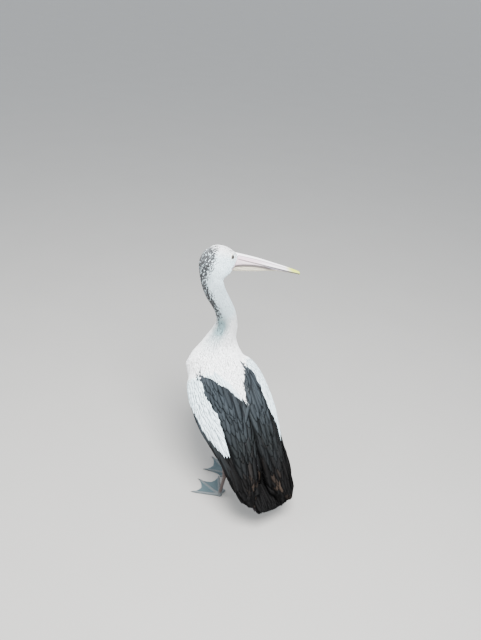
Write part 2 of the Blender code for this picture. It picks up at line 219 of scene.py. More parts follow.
class Shader:
    def __init__(self, name, rough, shine=0.5, **constants):
        self.material = bpy.data.materials.new(name)
        self.material.use_nodes = True
        self.tree = self.material.node_tree
        self.surface = self.tree.nodes["Principled BSDF"]
        constants.update(Roughness=rough, Specular_IOR_Level=shine)
        for socket, value in constants.items():
            self.surface.inputs[socket.replace("_", " ")].default_value = value

    def node(self, kind, settings=None, values=None, output=0):
        made = self.tree.nodes.new(kind)
        for name, value in (settings or {}).items():
            if name == "stops":
                self.setStops(made.color_ramp, value)
            else:
                setattr(made, name, value)
        for socket, value in (values or {}).items():
            if isinstance(value, Wire):
                self.tree.links.new(value.socket, made.inputs[socket])
            else:
                made.inputs[socket].default_value = value
        return Wire(self, made.outputs[output])

    def setStops(self, ramp, stops):
        while len(ramp.elements) < len(stops):
            ramp.elements.new(1.0)
        for element, (place, colour) in zip(ramp.elements, stops):
            element.position = place
            element.color = (*colour, 1.0)

    def maths(self, operation, *values):
        return self.node("ShaderNodeMath", {"operation": operation}, dict(enumerate(values)))

    def place(self):
        return self.node("ShaderNodeTexCoord", output="Object")

    def attribute(self, name, output="Fac"):
        return self.node("ShaderNodeAttribute", {"attribute_name": name}, output=output)

    def split(self, vector):
        parts = self.node("ShaderNodeSeparateXYZ", values={0: vector})
        return [Wire(self, socket) for socket in parts.socket.node.outputs]

    def stretched(self, vector, factors):
        return self.node("ShaderNodeVectorMath", {"operation": "MULTIPLY"}, {0: vector, 1: factors})

    def noise(self, scale, detail=3.0, vector=None):
        values = {"Scale": scale, "Detail": detail, "Vector": vector or self.place()}
        return self.node("ShaderNodeTexNoise", values=values, output="Fac")

    def between(self, value, low, high):
        # 0 at low, 1 at high, smooth in between
        settings = {"interpolation_type": "SMOOTHSTEP"}
        return self.node("ShaderNodeMapRange", settings, {0: value, 1: low, 2: high, 3: 0.0, 4: 1.0})

    def mix(self, factor, first, second, blend="MIX"):
        settings = {"data_type": "RGBA", "blend_type": blend}
        values = {0: factor, 6: colourValue(first), 7: colourValue(second)}
        return self.node("ShaderNodeMix", settings, values, output=2)

    def shaded(self, colour, shade):
        # the colour times one grey value
        grey = self.node("ShaderNodeCombineColor", values={0: shade, 1: shade, 2: shade})
        return self.mix(1.0, colour, grey, "MULTIPLY")

    def ramp(self, factor, stops):
        return self.node("ShaderNodeValToRGB", {"stops": stops}, {0: factor}, output="Color")

    def finished(self, colour, relief=None, strength=0.0, depth=0.0, rough=None):
        # the material, with what is given joined to its surface
        wires = {"Base Color": colour, "Roughness": rough}
        if relief:
            values = {"Height": relief, "Strength": strength, "Distance": depth}
            wires["Normal"] = self.node("ShaderNodeBump", values=values)
        for socket, wire in wires.items():
            if wire:
                self.tree.links.new(wire.socket, self.surface.inputs[socket])
        return self.material


# Markings, with painted sheen and shade, as colours worked out from a place on the bird

pigment = {
    "white": (0.87, 0.875, 0.875),
    "coolShade": (0.63, 0.77, 0.82),     # painted cool shade: a greyer, bluer white on the neck, face and wings
    "shade": (0.22, 0.33, 0.35),     # painted shade low on the neck, a cool blue-grey
    "bare": (0.68, 0.53, 0.57),      # bare skin at the root of the bill
    # painted shade in the crease behind the mouth
    "shadedCrease": (0.07, 0.06, 0.06),
    "brown": (0.034, 0.024, 0.018),
    "nape": (0.04, 0.043, 0.047),
    # slate of the dark feathers, by the distance behind the shoulders: their own near-black, paler near
    # the shoulders with painted sheen and blacker towards the wing tips with painted shade
    "slateSheenAndShade": ((-0.06, (0.038, 0.044, 0.05)), (0.05, (0.019, 0.024, 0.028)), (0.15, (0.019, 0.023, 0.026)),
              (0.21, (0.011, 0.013, 0.0135)), (0.28, (0.007, 0.008, 0.0085)),
              (0.34, (0.003, 0.0028, 0.0028)), (0.42, (0.0018, 0.0017, 0.0017))),
}
patch = {
    # edges of the dark patch on each side: behind the shoulders, and out
    "leftInner": ((-0.055, 0.121), (-0.016, 0.114), (0.006, 0.098), (0.037, 0.084), (0.06, 0.062),
                  (0.107, 0.037), (0.15, 0.0)),
    "leftOuter": ((-0.055, 0.124), (-0.005, 0.128), (0.019, 0.134), (0.058, 0.139), (0.113, 0.132),
                  (0.152, 0.121), (0.203, 0.129), (0.337, 0.132)),
    "rightInner": ((-0.035, 0.062), (0.013, 0.048), (0.065, 0.018), (0.126, 0.009), (0.15, 0.0)),
    "rightOuter": ((-0.035, 0.063), (0.007, 0.074), (0.022, 0.092), (0.049, 0.084), (0.095, 0.09),
                   (0.139, 0.094), (0.194, 0.104), (0.248, 0.125), (0.33, 0.134)),
    "folded": 0.15,       # behind this the wings meet, and hide each other's inner faces and the rump
    "rump": 0.03, "rumpFall": 0.3,    # how high the dark rump begins there, and how its edge falls back
    # height of the white coverts' lower edge, and how far back their tips reach
    "covertEdge": ((-0.06, -0.11), (0.0, -0.05), (0.06, -0.01), (0.12, 0.009), (0.17, 0.015),
                   (0.224, 0.025), (0.264, 0.033), (0.292, 0.042), (0.313, 0.05), (0.33, 0.062)),
    "covertEnd": 0.332,
}


def darkPlumage(places, kinds):
    # where the feathers are black and not white
    behind, out, above = onBody(places)
    folded = behind > patch["folded"]
    dark = isKind(kinds, "tail")
    for side, sign in signs.items():
        reach = out * sign
        inner = patch[side + "Inner"]
        wing = isKind(kinds, "wing_" + side)
        inside = (behind > inner[0][0]) & ((reach > along(inner, behind)) | wing & folded)
        inside &= (reach < along(patch[side + "Outer"], behind)) & (above > 0.0)
        under = above < along(patch["covertEdge"], behind)
        dark |= inside | wing & (under | (behind > patch["covertEnd"]))
    rump = above > patch["rump"] - patch["rumpFall"] * (behind - patch["folded"])
    return dark | isKind(kinds, "trunk") & folded & rump


nape = {
    "turns": ((0.72, -2.0), (0.775, 7.0), (0.836, 12.0), (0.934, 12.0), (1.0, 11.0)),   # height, facing
    "spreads": ((0.72, 34.0), (0.79, 44.0), (0.9, 50.0), (0.96, 44.0), (1.02, 46.0), (1.06, 48.0)),
    "firm": 2.0,                # how fast the stripe fills in from its edges
    "crown": (-0.012, -0.05),   # where it begins on the crown, and over how far
    "crownFoot": -0.03,         # height on the head where the crown ends
    "foot": (0.7, 0.12),        # height where it ends, and over how far
    "density": 0.9,             # share of its feathers that are dark
    "tones": (0.25, 1.6),
    "onSkin": 0.5,              # how much of it shows on the skin
}
whites = {
    "coolShade": 0.9, "coolShadeEnd": 0.42, "coolShadeFade": 0.06,    # down the middle line, the painted cool shade gives way to white
    "crownFade": 0.03,                                    # and up over the crown
    # the painted shade low on the neck: which way it faces, how high it is, and how far it reaches
    "shadeFacing": 34.0, "shadeSpread": 58.0, "shadeHeight": 0.714, "shadeReach": 0.105, "shadeFirm": 1.4,
}
bareSkin = {
    # back edge of the bare skin around the bill's root, by the height on the head
    "edge": ((-0.06, 0.072), (-0.042, 0.058), (-0.034, 0.046), (-0.026, 0.055), (0.0, 0.06),
             (0.012, 0.066), (0.02, 0.08)),
    # the painted shade in the crease behind the mouth: where it begins, how it rises, its half width and
    # its darkness
    "creaseForward": 0.045, "creaseUp": -0.033, "creaseRise": 0.24, "creaseWidth": 0.0042, "shadedCrease": 0.7,
}


def neckFacing(places):
    # compass angle of each place around the middle of the neck at its height
    across, ahead, heights = neckMiddles.T
    acrossNeck = places[:, 0] - np.interp(places[:, 2], heights, across)
    aheadNeck = places[:, 1] - np.interp(places[:, 2], heights, ahead)
    return np.degrees(np.arctan2(aheadNeck, acrossNeck))


def napeShare(places):
    # how strongly the speckled stripe shows, from the back of the crown down the hindneck
    apart = abs(neckFacing(places) - along(nape["turns"], places[:, 2]))
    width = along(nape["spreads"], places[:, 2])
    share = np.clip(nape["firm"] * (1.0 - apart / width), 0.0, 1.0)
    forward, up, _ = onHead(places)
    share *= np.where(up > nape["crownFoot"], fade(forward, *nape["crown"]), 1.0)
    return share * fade(places[:, 2], *nape["foot"])


def bareFace(places):
    forward, up, _ = onHead(places)
    edge = bareSkin["edge"]
    return (forward > along(edge, up)) & (up > edge[0][0]) & (up < edge[-1][0])


def blend(first, second, share):
    return np.array(first) + (np.array(second) - np.array(first)) * np.clip(share, 0.0, 1.0)[:, None]


def whitesAndPaintedShade(places, kinds):
    # painted cool shade on the wings and down the neck, kept off the crown and the mantle
    fading = (whites["coolShadeEnd"] - arcOf(places)) / whites["coolShadeFade"]
    coolShaded = np.where(isKind(kinds, "wing_left", "wing_right"), whites["coolShade"],
                      np.clip(fading, 0.0, whites["coolShade"]))
    crown = fade(onHead(places)[1], 0.0, whites["crownFade"])
    light = blend(pigment["white"], pigment["coolShade"], coolShaded * (1.0 - crown))
    # painted shade where the lower neck curves away from the light
    apart = abs(neckFacing(places) - whites["shadeFacing"]) / whites["shadeSpread"]
    away = abs(places[:, 2] - whites["shadeHeight"]) / whites["shadeReach"]
    around, down = (np.clip(whites["shadeFirm"] * (1.0 - gap), 0.0, 1.0) for gap in (apart, away))
    return blend(light, pigment["shade"], around * down)


def plumage(places, kinds):
    # colours of the plumage at many places, with the painted sheen and shade in them
    steps, shades = zip(*pigment["slateSheenAndShade"])
    behind = onBody(places)[0]
    black = np.column_stack([np.interp(behind, steps, channel) for channel in zip(*shades)])
    return blend(whitesAndPaintedShade(places, kinds), black, darkPlumage(places, kinds).astype(float))


# The skin: the solids of the flesh as one surface, drawn in by the depth of the coat

skinSize = {
    "grow": 0.0012,     # closes the cuts between the solids
    "voxel": 0.0036,
    "smoothing": 3,
    # depth of the coat down the middle line, and the share of a thin part's thickness that it may take
    "coat": ((0.0, 0.0008), (0.08, 0.0018), (0.16, 0.0028), (0.45, 0.004), (0.6, 0.005)),
    "thinShare": 0.3,
    "near": 0.03,       # how far around a solid's box its skin is looked for
    "gapShadeUnderDark": 0.6,   # painted shade: how much darker the skin is under dark feathers, so the gaps between them read as shadow
}


def addTo(whole, part):
    # one bmesh joins another
    scratch = bpy.data.meshes.new("scratch")
    part.to_mesh(scratch)
    part.free()
    whole.from_mesh(scratch)
    bpy.data.meshes.remove(scratch)


def solidsOf(names, grow=0.0):
    # the named solids in one bmesh, each grown along its normals
    joined = bmesh.new()
    for name in names:
        part = bmesh.new()
        part.from_mesh(nodes[name].data)
        bmesh.ops.remove_doubles(part, verts=part.verts, dist=1e-5)
        part.normal_update()
        for vert in part.verts:
            vert.co += vert.normal * grow
        addTo(joined, part)
    return joined


def put(name, data):
    # a new object in the scene
    thing = bpy.data.objects.new(name, data)
    bpy.context.scene.collection.objects.link(thing)
    return thing


def newPiece(name, finish=None):
    piece = put(name, bpy.data.meshes.new(name))
    if finish:
        piece.data.materials.append(finish)
    return piece


def store(piece, bm):
    # the bmesh becomes the piece's own mesh
    bm.to_mesh(piece.data)
    bm.free()
    piece.data.shade_smooth()


def pieceFrom(name, bm, finish=None):
    piece = newPiece(name, finish)
    store(piece, bm)
    return piece


def mark(piece, name, values):
    # a number or a vector at every vertex, for the materials
    kind, field = ("FLOAT", "value") if values.ndim == 1 else ("FLOAT_VECTOR", "vector")
    piece.data.attributes.new(name, kind, "POINT").data.foreach_set(field, values.ravel())


def paint(piece, colours, marks):
    # the plumage at every vertex: its colour, and in the alpha how pale a feather's rim is
    layer = piece.data.color_attributes.new("plumage", "FLOAT_COLOR", "POINT")
    layer.data.foreach_set("color", np.column_stack([colours, marks]).ravel())


def edgesOf(verts):
    return list({edge for vert in verts for edge in vert.link_edges})


def bridge(bm, loops):
    # faces between each ring of edges and the next
    for near, far in zip(loops, loops[1:]):
        bmesh.ops.bridge_loops(bm, edges=near + far)


def smooth(bm, times):
    for _ in range(times):
        bmesh.ops.smooth_vert(bm, verts=bm.verts, factor=0.5,
                              use_axis_x=True, use_axis_y=True, use_axis_z=True)
    bm.normal_update()


def moulded(name, solids, size, finish=None):
    # one smooth closed surface around the solids: the piece, and its bmesh to shape further
    piece = pieceFrom(name, solidsOf(solids, size["grow"]), finish)
    step = piece.modifiers.new("remesh", "REMESH")
    step.mode = "VOXEL"
    step.voxel_size = size["voxel"]
    bm = bmesh.new()
    bm.from_object(piece, bpy.context.evaluated_depsgraph_get())
    piece.modifiers.clear()
    smooth(bm, size["smoothing"])
    return piece, bm


def nearestSolid(places):
    # which of the flesh's solids each place is nearest to
    best = np.full(len(places), np.inf)
    kinds = np.zeros(len(places), int)
    for index, name in enumerate(flesh):
        solid = solidsOf([name])
        tree = BVHTree.FromBMesh(solid)
        solid.free()
        low, high = (np.array(corner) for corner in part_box(name))
        close = ((places > low - skinSize["near"]) & (places < high + skinSize["near"])).all(1)
        for row in np.flatnonzero(close):
            gap = tree.find_nearest(places[row])[3]
            if gap < best[row]:
                best[row], kinds[row] = gap, index
    return kinds


def makeSkin():
    piece, bm = moulded("skin", flesh, skinSize)
    tree = BVHTree.FromBMesh(bm)
    places = np.array([vert.co for vert in bm.verts])
    depths = along(skinSize["coat"], arcOf(places)) + skinSize["grow"]
    for vert, depth in zip(bm.verts, depths):
        through = tree.ray_cast(vert.co - vert.normal * 1e-4, -vert.normal)[3]
        limit = skinSize["thinShare"] * through if through else depth
        places[vert.index] = vert.co - vert.normal * min(depth, limit)
    for vert, place in zip(bm.verts, places):
        vert.co = place
    smooth(bm, 1)
    store(piece, bm)
    return piece


skin = makeSkin()
skin.data.calc_loop_triangles()
skinPlaces = vertsOf(skin.data)
skinNormals = np.array([tuple(vert.normal) for vert in skin.data.vertices])
skinTriangles = np.array([tuple(item.vertices) for item in skin.data.loop_triangles])
skinKinds = nearestSolid(skinPlaces)
skinTree = BVHTree.FromPolygons([tuple(place) for place in skinPlaces],
                                [tuple(row) for row in skinTriangles])


def paintSkin():
    dark = darkPlumage(skinPlaces, skinKinds)
    # painted shade in the gaps between the dark feathers, on the skin beneath them
    colours = plumage(skinPlaces, skinKinds) * (1.0 - skinSize["gapShadeUnderDark"] * dark)[:, None]
    colours = blend(colours, pigment["nape"], napeShare(skinPlaces) * nape["onSkin"])
    bare = bareFace(skinPlaces)
    colours = blend(colours, pigment["bare"], bare.astype(float))
    forward, up, _ = onHead(skinPlaces)
    # painted shade in the crease behind the mouth, on the bare skin
    above = up - bareSkin["creaseUp"] - (forward - bareSkin["creaseForward"]) * bareSkin["creaseRise"]
    shadedCrease = np.exp(-(above / bareSkin["creaseWidth"]) ** 2) * bare
    colours = blend(colours, pigment["shadedCrease"], shadedCrease * bareSkin["shadedCrease"])
    paint(skin, colours, np.ones(len(colours)))


paintSkin()
print("skin", len(skinPlaces))


# Which way the feathers lie, and where they are rooted

lay = {
    # tips of the wings: behind the shoulders, out and above
    "tips": {"left": (0.56, 0.08, 0.01), "right": (0.6, -0.065, 0.01)},
    "tipReach": 0.035,     # nearer than this a tip pulls less
    "backward": 1.2,       # how much the feathers of a wing also run straight back
    "thigh": (0.0, 0.25, -1.0),
    "seam": -0.6,          # no roots where a wing faces the other one more than this
    "crowd": 5.0,          # places tried for every root
    "follow": 0.6,         # past an edge sharper than this a feather runs straight on
    "stray": 0.007,        # a feather whose end stands further off the skin is left out
}
wingTips = {side: np.array(bodyPlace(*place)) for side, place in lay["tips"].items()}


def wingCourse(places, side):
    # which way the feathers of a wing run
    toTip = wingTips[side] - places
    pull = np.minimum(np.linalg.norm(toTip, axis=1, keepdims=True) / lay["tipReach"], 1.0)
    return unit(unit(toTip) * pull - lay["backward"] * forwardWay)


def alongSkin(ways, normals):
    return unit(ways - (ways * normals).sum(1, keepdims=True) * normals)


def lieAt(roots):
    places, kinds = roots["places"], roots["kinds"]
    ways = nearStations(places) @ stationWays
    for side in signs:
        ways = np.where(isKind(kinds, "wing_" + side)[:, None], wingCourse(places, side), ways)
    ways = np.where(isKind(kinds, "thigh_left", "thigh_right")[:, None], lay["thigh"], ways)
    ways = np.where(isKind(kinds, "tail")[:, None], -forwardWay, ways)
    return alongSkin(unit(ways), roots["normals"])


def askew(roots, degrees):
    # how the feathers lie, each turned a little
    lies = lieAt(roots)
    turn = np.radians(draws.normal(0.0, degrees, len(lies)))[:, None]
    return unit(lies * np.cos(turn) + np.cross(roots["normals"], lies) * np.sin(turn))


def picked(rows, chosen):
    return {name: values[chosen] for name, values in rows.items()}


def scatter(spacingOf, allowed):
    # roots spread over the skin, no two nearer than the spacing at their place
    corners = skinPlaces[skinTriangles]
    middles = corners.mean(1)
    kinds = skinKinds[skinTriangles[:, 0]]
    first, second, third = corners.transpose(1, 0, 2)
    areas = np.linalg.norm(np.cross(second - first, third - first), axis=1) / 2
    spacings = spacingOf(middles)
    crowding = np.where(allowed(middles, kinds), areas / spacings ** 2, 0.0)
    count = int(crowding.sum() * lay["crowd"])
    chosen = draws.choice(len(middles), count, p=crowding / crowding.sum())
    shares = draws.dirichlet((1.0, 1.0, 1.0), count)[:, :, None]
    places = (corners[chosen] * shares).sum(1)
    normals = unit((skinNormals[skinTriangles[chosen]] * shares).sum(1))
    near = KDTree(count)
    for row, place in enumerate(places):
        near.insert(place, row)
    near.balance()
    free = np.ones(count, bool)
    kept = []
    for row in range(count):
        if free[row]:
            kept.append(row)
            for _, other, _ in near.find_range(places[row], spacings[chosen[row]]):
                free[other] = False
    return picked({"places": places, "normals": normals, "kinds": kinds[chosen]}, np.array(kept))


def offSeam(roots, side):
    # without the roots that face the other wing
    return picked(roots, roots["normals"] @ leftWay * signs[side] > lay["seam"])


# A feather is a slim closed blade: rings across its shaft, widest in the middle

def bladeShape(kind):
    # along 0 to 1 and across -1 to 1; each ring gives its place along the shaft and its half width
    bm = bmesh.new()
    loops = []
    for place, half in kind["blade"]:
        verts = bmesh.ops.create_circle(bm, segments=kind["sides"], radius=1.0)["verts"]
        for vert in verts:
            across = vert.co.x * half
            rise = vert.co.y * kind["thick"] * (0.3 + 0.7 * half)
            vert.co = Vector((across, place, rise - kind["camber"] * across ** 2))
        loops.append(edgesOf(verts))
    bridge(bm, loops)
    for end in (loops[0], loops[-1]):
        bmesh.ops.contextual_create(bm, geom=end)
    bmesh.ops.recalc_face_normals(bm, faces=bm.faces)
    bmesh.ops.triangulate(bm, faces=bm.faces)
    bm.verts.index_update()
    shape = {
        "verts": np.array([vert.co for vert in bm.verts]),
        "faces": np.array([[vert.index for vert in face.verts] for face in bm.faces]),
    }
    bm.free()
    return shape


def walk(coat, steps):
    # places and normals down each feather, following the skin beneath it
    place, way, normal = coat["places"], coat["lies"], coat["normals"].copy()
    path, normals = [place], [normal.copy()]
    for _ in range(steps):
        ahead = place + way * (coat["lengths"] / steps)[:, None]
        for row, target in enumerate(ahead):
            nearest, facing, _, _ = skinTree.find_nearest(target)
            if facing.dot(Vector(normal[row])) > lay["follow"]:
                ahead[row] = nearest
                normal[row] = normal[row] * 0.4 + np.array(facing) * 0.6
        normal = unit(normal)
        way = alongSkin(unit(ahead - place), normal)
        place = ahead
        path.append(place)
        normals.append(normal.copy())
    return np.array(path), np.array(normals)


def layCoat(name, kind, coat, finish):
    # one mesh of feathers: the blade bent down every root's path over the skin
    shape, steps = bladeShape(kind), kind["steps"]
    path, normals = walk(coat, steps)
    close = np.array([skinTree.find_nearest(end)[3] for end in path[-1]]) <= lay["stray"]
    path, normals, coat = path[:, close], normals[:, close], picked(coat, close)
    count, size = len(coat["lengths"]), len(shape["verts"])
    across, place, height = shape["verts"].T
    step = np.clip(place * steps, 0, steps - 1e-6).astype(int)
    part = (place * steps - step)[:, None, None]
    middle = path[step] * (1 - part) + path[step + 1] * part
    up = unit(normals[step] * (1 - part) + normals[step + 1] * part)
    side = unit(np.cross(path[step + 1] - path[step], up))
    lift = np.outer(place ** 1.3, coat["lifts"])[:, :, None]
    half = (coat["widths"] / 2)[None, :, None]
    verts = middle + side * across[:, None, None] * half + up * (height[:, None, None] * half + lift)
    verts = verts.transpose(1, 0, 2).reshape(-1, 3)
    faces = (shape["faces"][None] + (np.arange(count) * size)[:, None, None]).reshape(-1, 3)

    piece = newPiece(name, finish)
    mesh = piece.data
    mesh.vertices.add(len(verts))
    mesh.vertices.foreach_set("co", verts.ravel())
    mesh.loops.add(faces.size)
    mesh.loops.foreach_set("vertex_index", faces.ravel())
    mesh.polygons.add(len(faces))
    mesh.polygons.foreach_set("loop_start", np.arange(len(faces)) * 3)
    mesh.update(calc_edges=True)
    mesh.shade_smooth()
    tones = coat["tones"] if "tones" in coat else draws.random(count)
    vane = [np.tile(across, count), np.tile(place, count), np.repeat(tones, size)]
    mark(piece, "vane", np.column_stack(vane))
    pale = coat["pale"] if "pale" in coat else np.zeros(count)
    paint(piece, np.repeat(coat["colours"], size, axis=0), np.repeat(pale, size))
    unwrapCoat(mesh, coat["places"], shape, faces)
    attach(piece, "root")
    print(name, count, "feathers", len(faces), "triangles")


# the part of the bake map that is used, and the size of one feather on it
bake = {"start": 0.004, "reach": 0.988, "patch": 0.003}


def unwrapCoat(mesh, rootPlaces, shape, faces):
    # each feather is a small patch at its root's place on the skin's own unwrap
    weights = nearStations(rootPlaces)
    offset = rootPlaces - weights @ stations
    ways = unit(weights @ stationWays)
    sides = unit(np.cross(ways, np.array((0.0, 0.0, 1.0)) + 0.3 * backWay))
    fronts = np.cross(sides, ways)
    around = np.arctan2((offset * sides).sum(1), (offset * fronts).sum(1))
    spots = bake["start"] + bake["reach"] * spread(np.column_stack([weights @ stationArcs, around]))
    across, place, height = shape["verts"].T
    local = spread(np.column_stack([across / 2 + 0.5 + height * 0.4, place + height * 0.6]))
    perVert = (spots[:, None, :] + local[None] * bake["patch"]).reshape(-1, 2)
    layer = mesh.uv_layers.new(name="OFBake")
    layer.data.foreach_set("uv", perVert[faces.ravel()].ravel())


# Finishes of the feathers

darkVane = {
    "paler": (1.7, 1.65, 1.7), "lilac": (0.105, 0.088, 0.102), "shaft": (0.004, 0.004, 0.004),
}


def makePlumageFinish():
    shader = Shader("plumage", 0.62, 0.3)
    across, place, tone = shader.split(shader.attribute("vane", "Vector"))
    aside = across * across
    rim = shader.between(aside, 0.25, 0.65) * shader.attribute("plumage", "Alpha")
    colour = shader.mix(rim * 0.6, shader.attribute("plumage", "Color"), pigment["white"])
    barbs = shader.maths("SINE", place * 60.0 + aside * 14.0)
    shade = 0.9 + tone * 0.16 - (1.0 - place) * 0.1 + barbs * 0.02
    relief = barbs * 0.3 - aside * 0.2
    return shader.finished(shader.shaded(colour, shade), relief, 0.25, 0.0006)


def makeSkinFinish():
    shader = Shader("skin", 0.8, 0.08)
    shade = 0.86 + shader.noise(120.0) * 0.16
    return shader.finished(shader.shaded(shader.attribute("plumage", "Color"), shade))


def makeDarkFinish():
    # long dark feathers: paler towards the edges, with a fine shaft and barbs
    shader = Shader("dark plumage", 0.75, 0.07)
    across, place, tone = shader.split(shader.attribute("vane", "Vector"))
    aside = across * across
    colour = shader.attribute("plumage", "Color")
    edge = shader.between(aside, 0.3, 0.95)
    fray = shader.noise(260.0, 4.0)
    paler = shader.mix(1.0, colour, darkVane["paler"], "MULTIPLY")
    colour = shader.mix(edge * (0.25 + tone * 0.6) * shader.between(fray, 0.3, 0.7), colour, paler)
    lilac = shader.between(tone, 0.7, 0.8) * edge * shader.between(fray, 0.3, 0.6)
    colour = shader.mix(lilac * 0.85, colour, darkVane["lilac"])
    shaft = shader.between(aside, 0.004, 0.0)
    colour = shader.mix(shaft * 0.6, colour, darkVane["shaft"])
    barbs = shader.maths("SINE", place * 170.0 + aside * 40.0)
    relief = barbs * 0.2 + shaft * 0.4 - aside * 0.3
    return shader.finished(colour, relief, 0.25, 0.0006)


plumageFinish = makePlumageFinish()
darkFinish = makeDarkFinish()
skin.data.materials.append(makeSkinFinish())
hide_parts(*flesh)
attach(skin, "root")


# Small feathers of the head, neck and body, by their place on the middle line

smallFeathers = {
    "length": ((0.0, 0.0045), (0.06, 0.0065), (0.14, 0.0095), (0.3, 0.013), (0.45, 0.019), (0.6, 0.027)),
    "spacing": ((0.0, 0.0018), (0.06, 0.0023), (0.14, 0.0027), (0.3, 0.0032), (0.45, 0.0042),
                (0.6, 0.0052)),
    "width": ((0.0, 0.0026), (0.06, 0.0034), (0.14, 0.004), (0.3, 0.0052), (0.45, 0.008), (0.6, 0.0115)),
    "lift": ((0.0, 0.001), (0.14, 0.0016), (0.45, 0.0024), (0.6, 0.0026)),
    "thighShare": 0.6,     # how much shorter they are on the thighs
    "blade": ((0.0, 0.3), (0.3, 0.85), (0.62, 1.0), (0.86, 0.66), (1.0, 0.1)),
    "sides": 3, "thick": 0.1, "camber": 0.12, "steps": 2,
    "askew": 6.0,          # degrees
    "eyeClear": 0.0125,    # bare skin around the eye
    "seen": 0.7,           # a feather takes its colour from the place that its visible end covers
    "ends": {"face": 0.07, "nape": 0.19, "neck": 0.33, "lowNeck": 0.44},    # of the upper pieces
}


def bySmallRoot(places, kinds):
    clear = ~isKind(kinds, "wing_left", "wing_right", "tail") & ~bareFace(places)
    for side in signs:
        gap = np.linalg.norm(places - np.array(middleOf("eye_" + side)), axis=1)
        clear &= gap > smallFeathers["eyeClear"]
    return clear


def makeSmallFeathers():
    coat = scatter(lambda places: along(smallFeathers["spacing"], arcOf(places)), bySmallRoot)
    places, kinds = coat["places"], coat["kinds"]
    arcs = arcOf(places)
    count = len(arcs)
    coat["lengths"] = along(smallFeathers["length"], arcs) * draws.uniform(0.85, 1.15, count)
    coat["lengths"][isKind(kinds, "thigh_left", "thigh_right")] *= smallFeathers["thighShare"]
    coat["widths"] = along(smallFeathers["width"], arcs) * draws.uniform(0.9, 1.1, count)
    coat["lifts"] = along(smallFeathers["lift"], arcs)
    seen = places + lieAt(coat) * (coat["lengths"] * smallFeathers["seen"])[:, None]
    coat["colours"] = plumage(seen, kinds)
    speckled = draws.random(count) < napeShare(places) * nape["density"]
    tones = draws.uniform(*nape["tones"], (speckled.sum(), 1))
    coat["colours"][speckled] = np.array(pigment["nape"]) * tones
    coat["pale"] = speckled.astype(float)
    coat["lies"] = askew(coat, smallFeathers["askew"])
    _, out, above = onBody(places)
    regions, start = {}, 0.0
    for name, end in smallFeathers["ends"].items():
        regions[name + "Feathers"] = (arcs >= start) & (arcs < end)
        start = end
    regions["mantleFeathers"] = (arcs >= start) & (above > 0.0)
    regions["bellyFeathers_left"] = (arcs >= start) & (above <= 0.0) & (out > 0.0)
    regions["bellyFeathers_right"] = (arcs >= start) & (above <= 0.0) & (out <= 0.0)
    for name, chosen in regions.items():
        layCoat(name, smallFeathers, picked(coat, chosen), plumageFinish)


makeSmallFeathers()


# White coverts on the wings: short over the shoulder, long and ragged at their ends

coverts = {
    "length": ((-0.08, 0.02), (0.02, 0.034), (0.12, 0.056), (0.2, 0.082), (0.3, 0.098)),
    "spacing": ((-0.08, 0.0068), (0.02, 0.008), (0.12, 0.0092), (0.3, 0.0105)),
    "width": ((-0.08, 0.011), (0.02, 0.014), (0.12, 0.0145), (0.3, 0.01)),
    "lift": 0.0036, "askew": 3.0,
    "clearOf": (0.0, 0.25, 0.5, 0.75, 0.95),     # where down its length a covert keeps off the patch
    "short": 0.35,       # share of the length of those at the edge of the patch
    "shortApart": 1.1,
    "blade": ((0.0, 0.3), (0.2, 0.8), (0.45, 1.0), (0.7, 0.8), (0.88, 0.42), (1.0, 0.06)),
    "sides": 4, "thick": 0.05, "camber": 0.12, "steps": 4,
}


def alongBody(points, places):
    return along(points, onBody(places)[0])


def covertsFree(places, kinds, side, share):
    # where coverts of that share of the full length keep off the dark patch
    reach = wingCourse(places, side) * (alongBody(coverts["length"], places) * share)[:, None]
    free = isKind(kinds, "wing_" + side)
    for step in coverts["clearOf"]:
        free &= ~darkPlumage(places + reach * step, kinds)
    return free


def makeCoverts(side):
    def full(places, kinds):
        return covertsFree(places, kinds, side, 1.0)

    def short(places, kinds):
        return covertsFree(places, kinds, side, coverts["short"]) & ~full(places, kinds)

    def spacing(places):
        return alongBody(coverts["spacing"], places)

    def closer(places):
        return spacing(places) * coverts["short"] * coverts["shortApart"]

    groups = [offSeam(scatter(spacing, full), side), offSeam(scatter(closer, short), side)]
    scales = np.repeat((1.0, coverts["short"]), [len(group["places"]) for group in groups])
    coat = {name: np.concatenate([group[name] for group in groups]) for name in groups[0]}
    places = coat["places"]
    count = len(places)
    coat["lies"] = askew(coat, coverts["askew"])
    lengths, widths = (alongBody(coverts[measure], places) for measure in ("length", "width"))
    coat["lengths"] = lengths * scales * draws.uniform(0.82, 1.18, count)
    coat["widths"] = widths * np.sqrt(scales) * draws.uniform(0.85, 1.15, count)
    coat["lifts"] = coverts["lift"] * scales
    coat["colours"] = whitesAndPaintedShade(places, coat["kinds"])
    layCoat("coverts_" + side, coverts, coat, plumageFinish)


# Dark feathers: scapulars and tertials that run down to the wing's tip

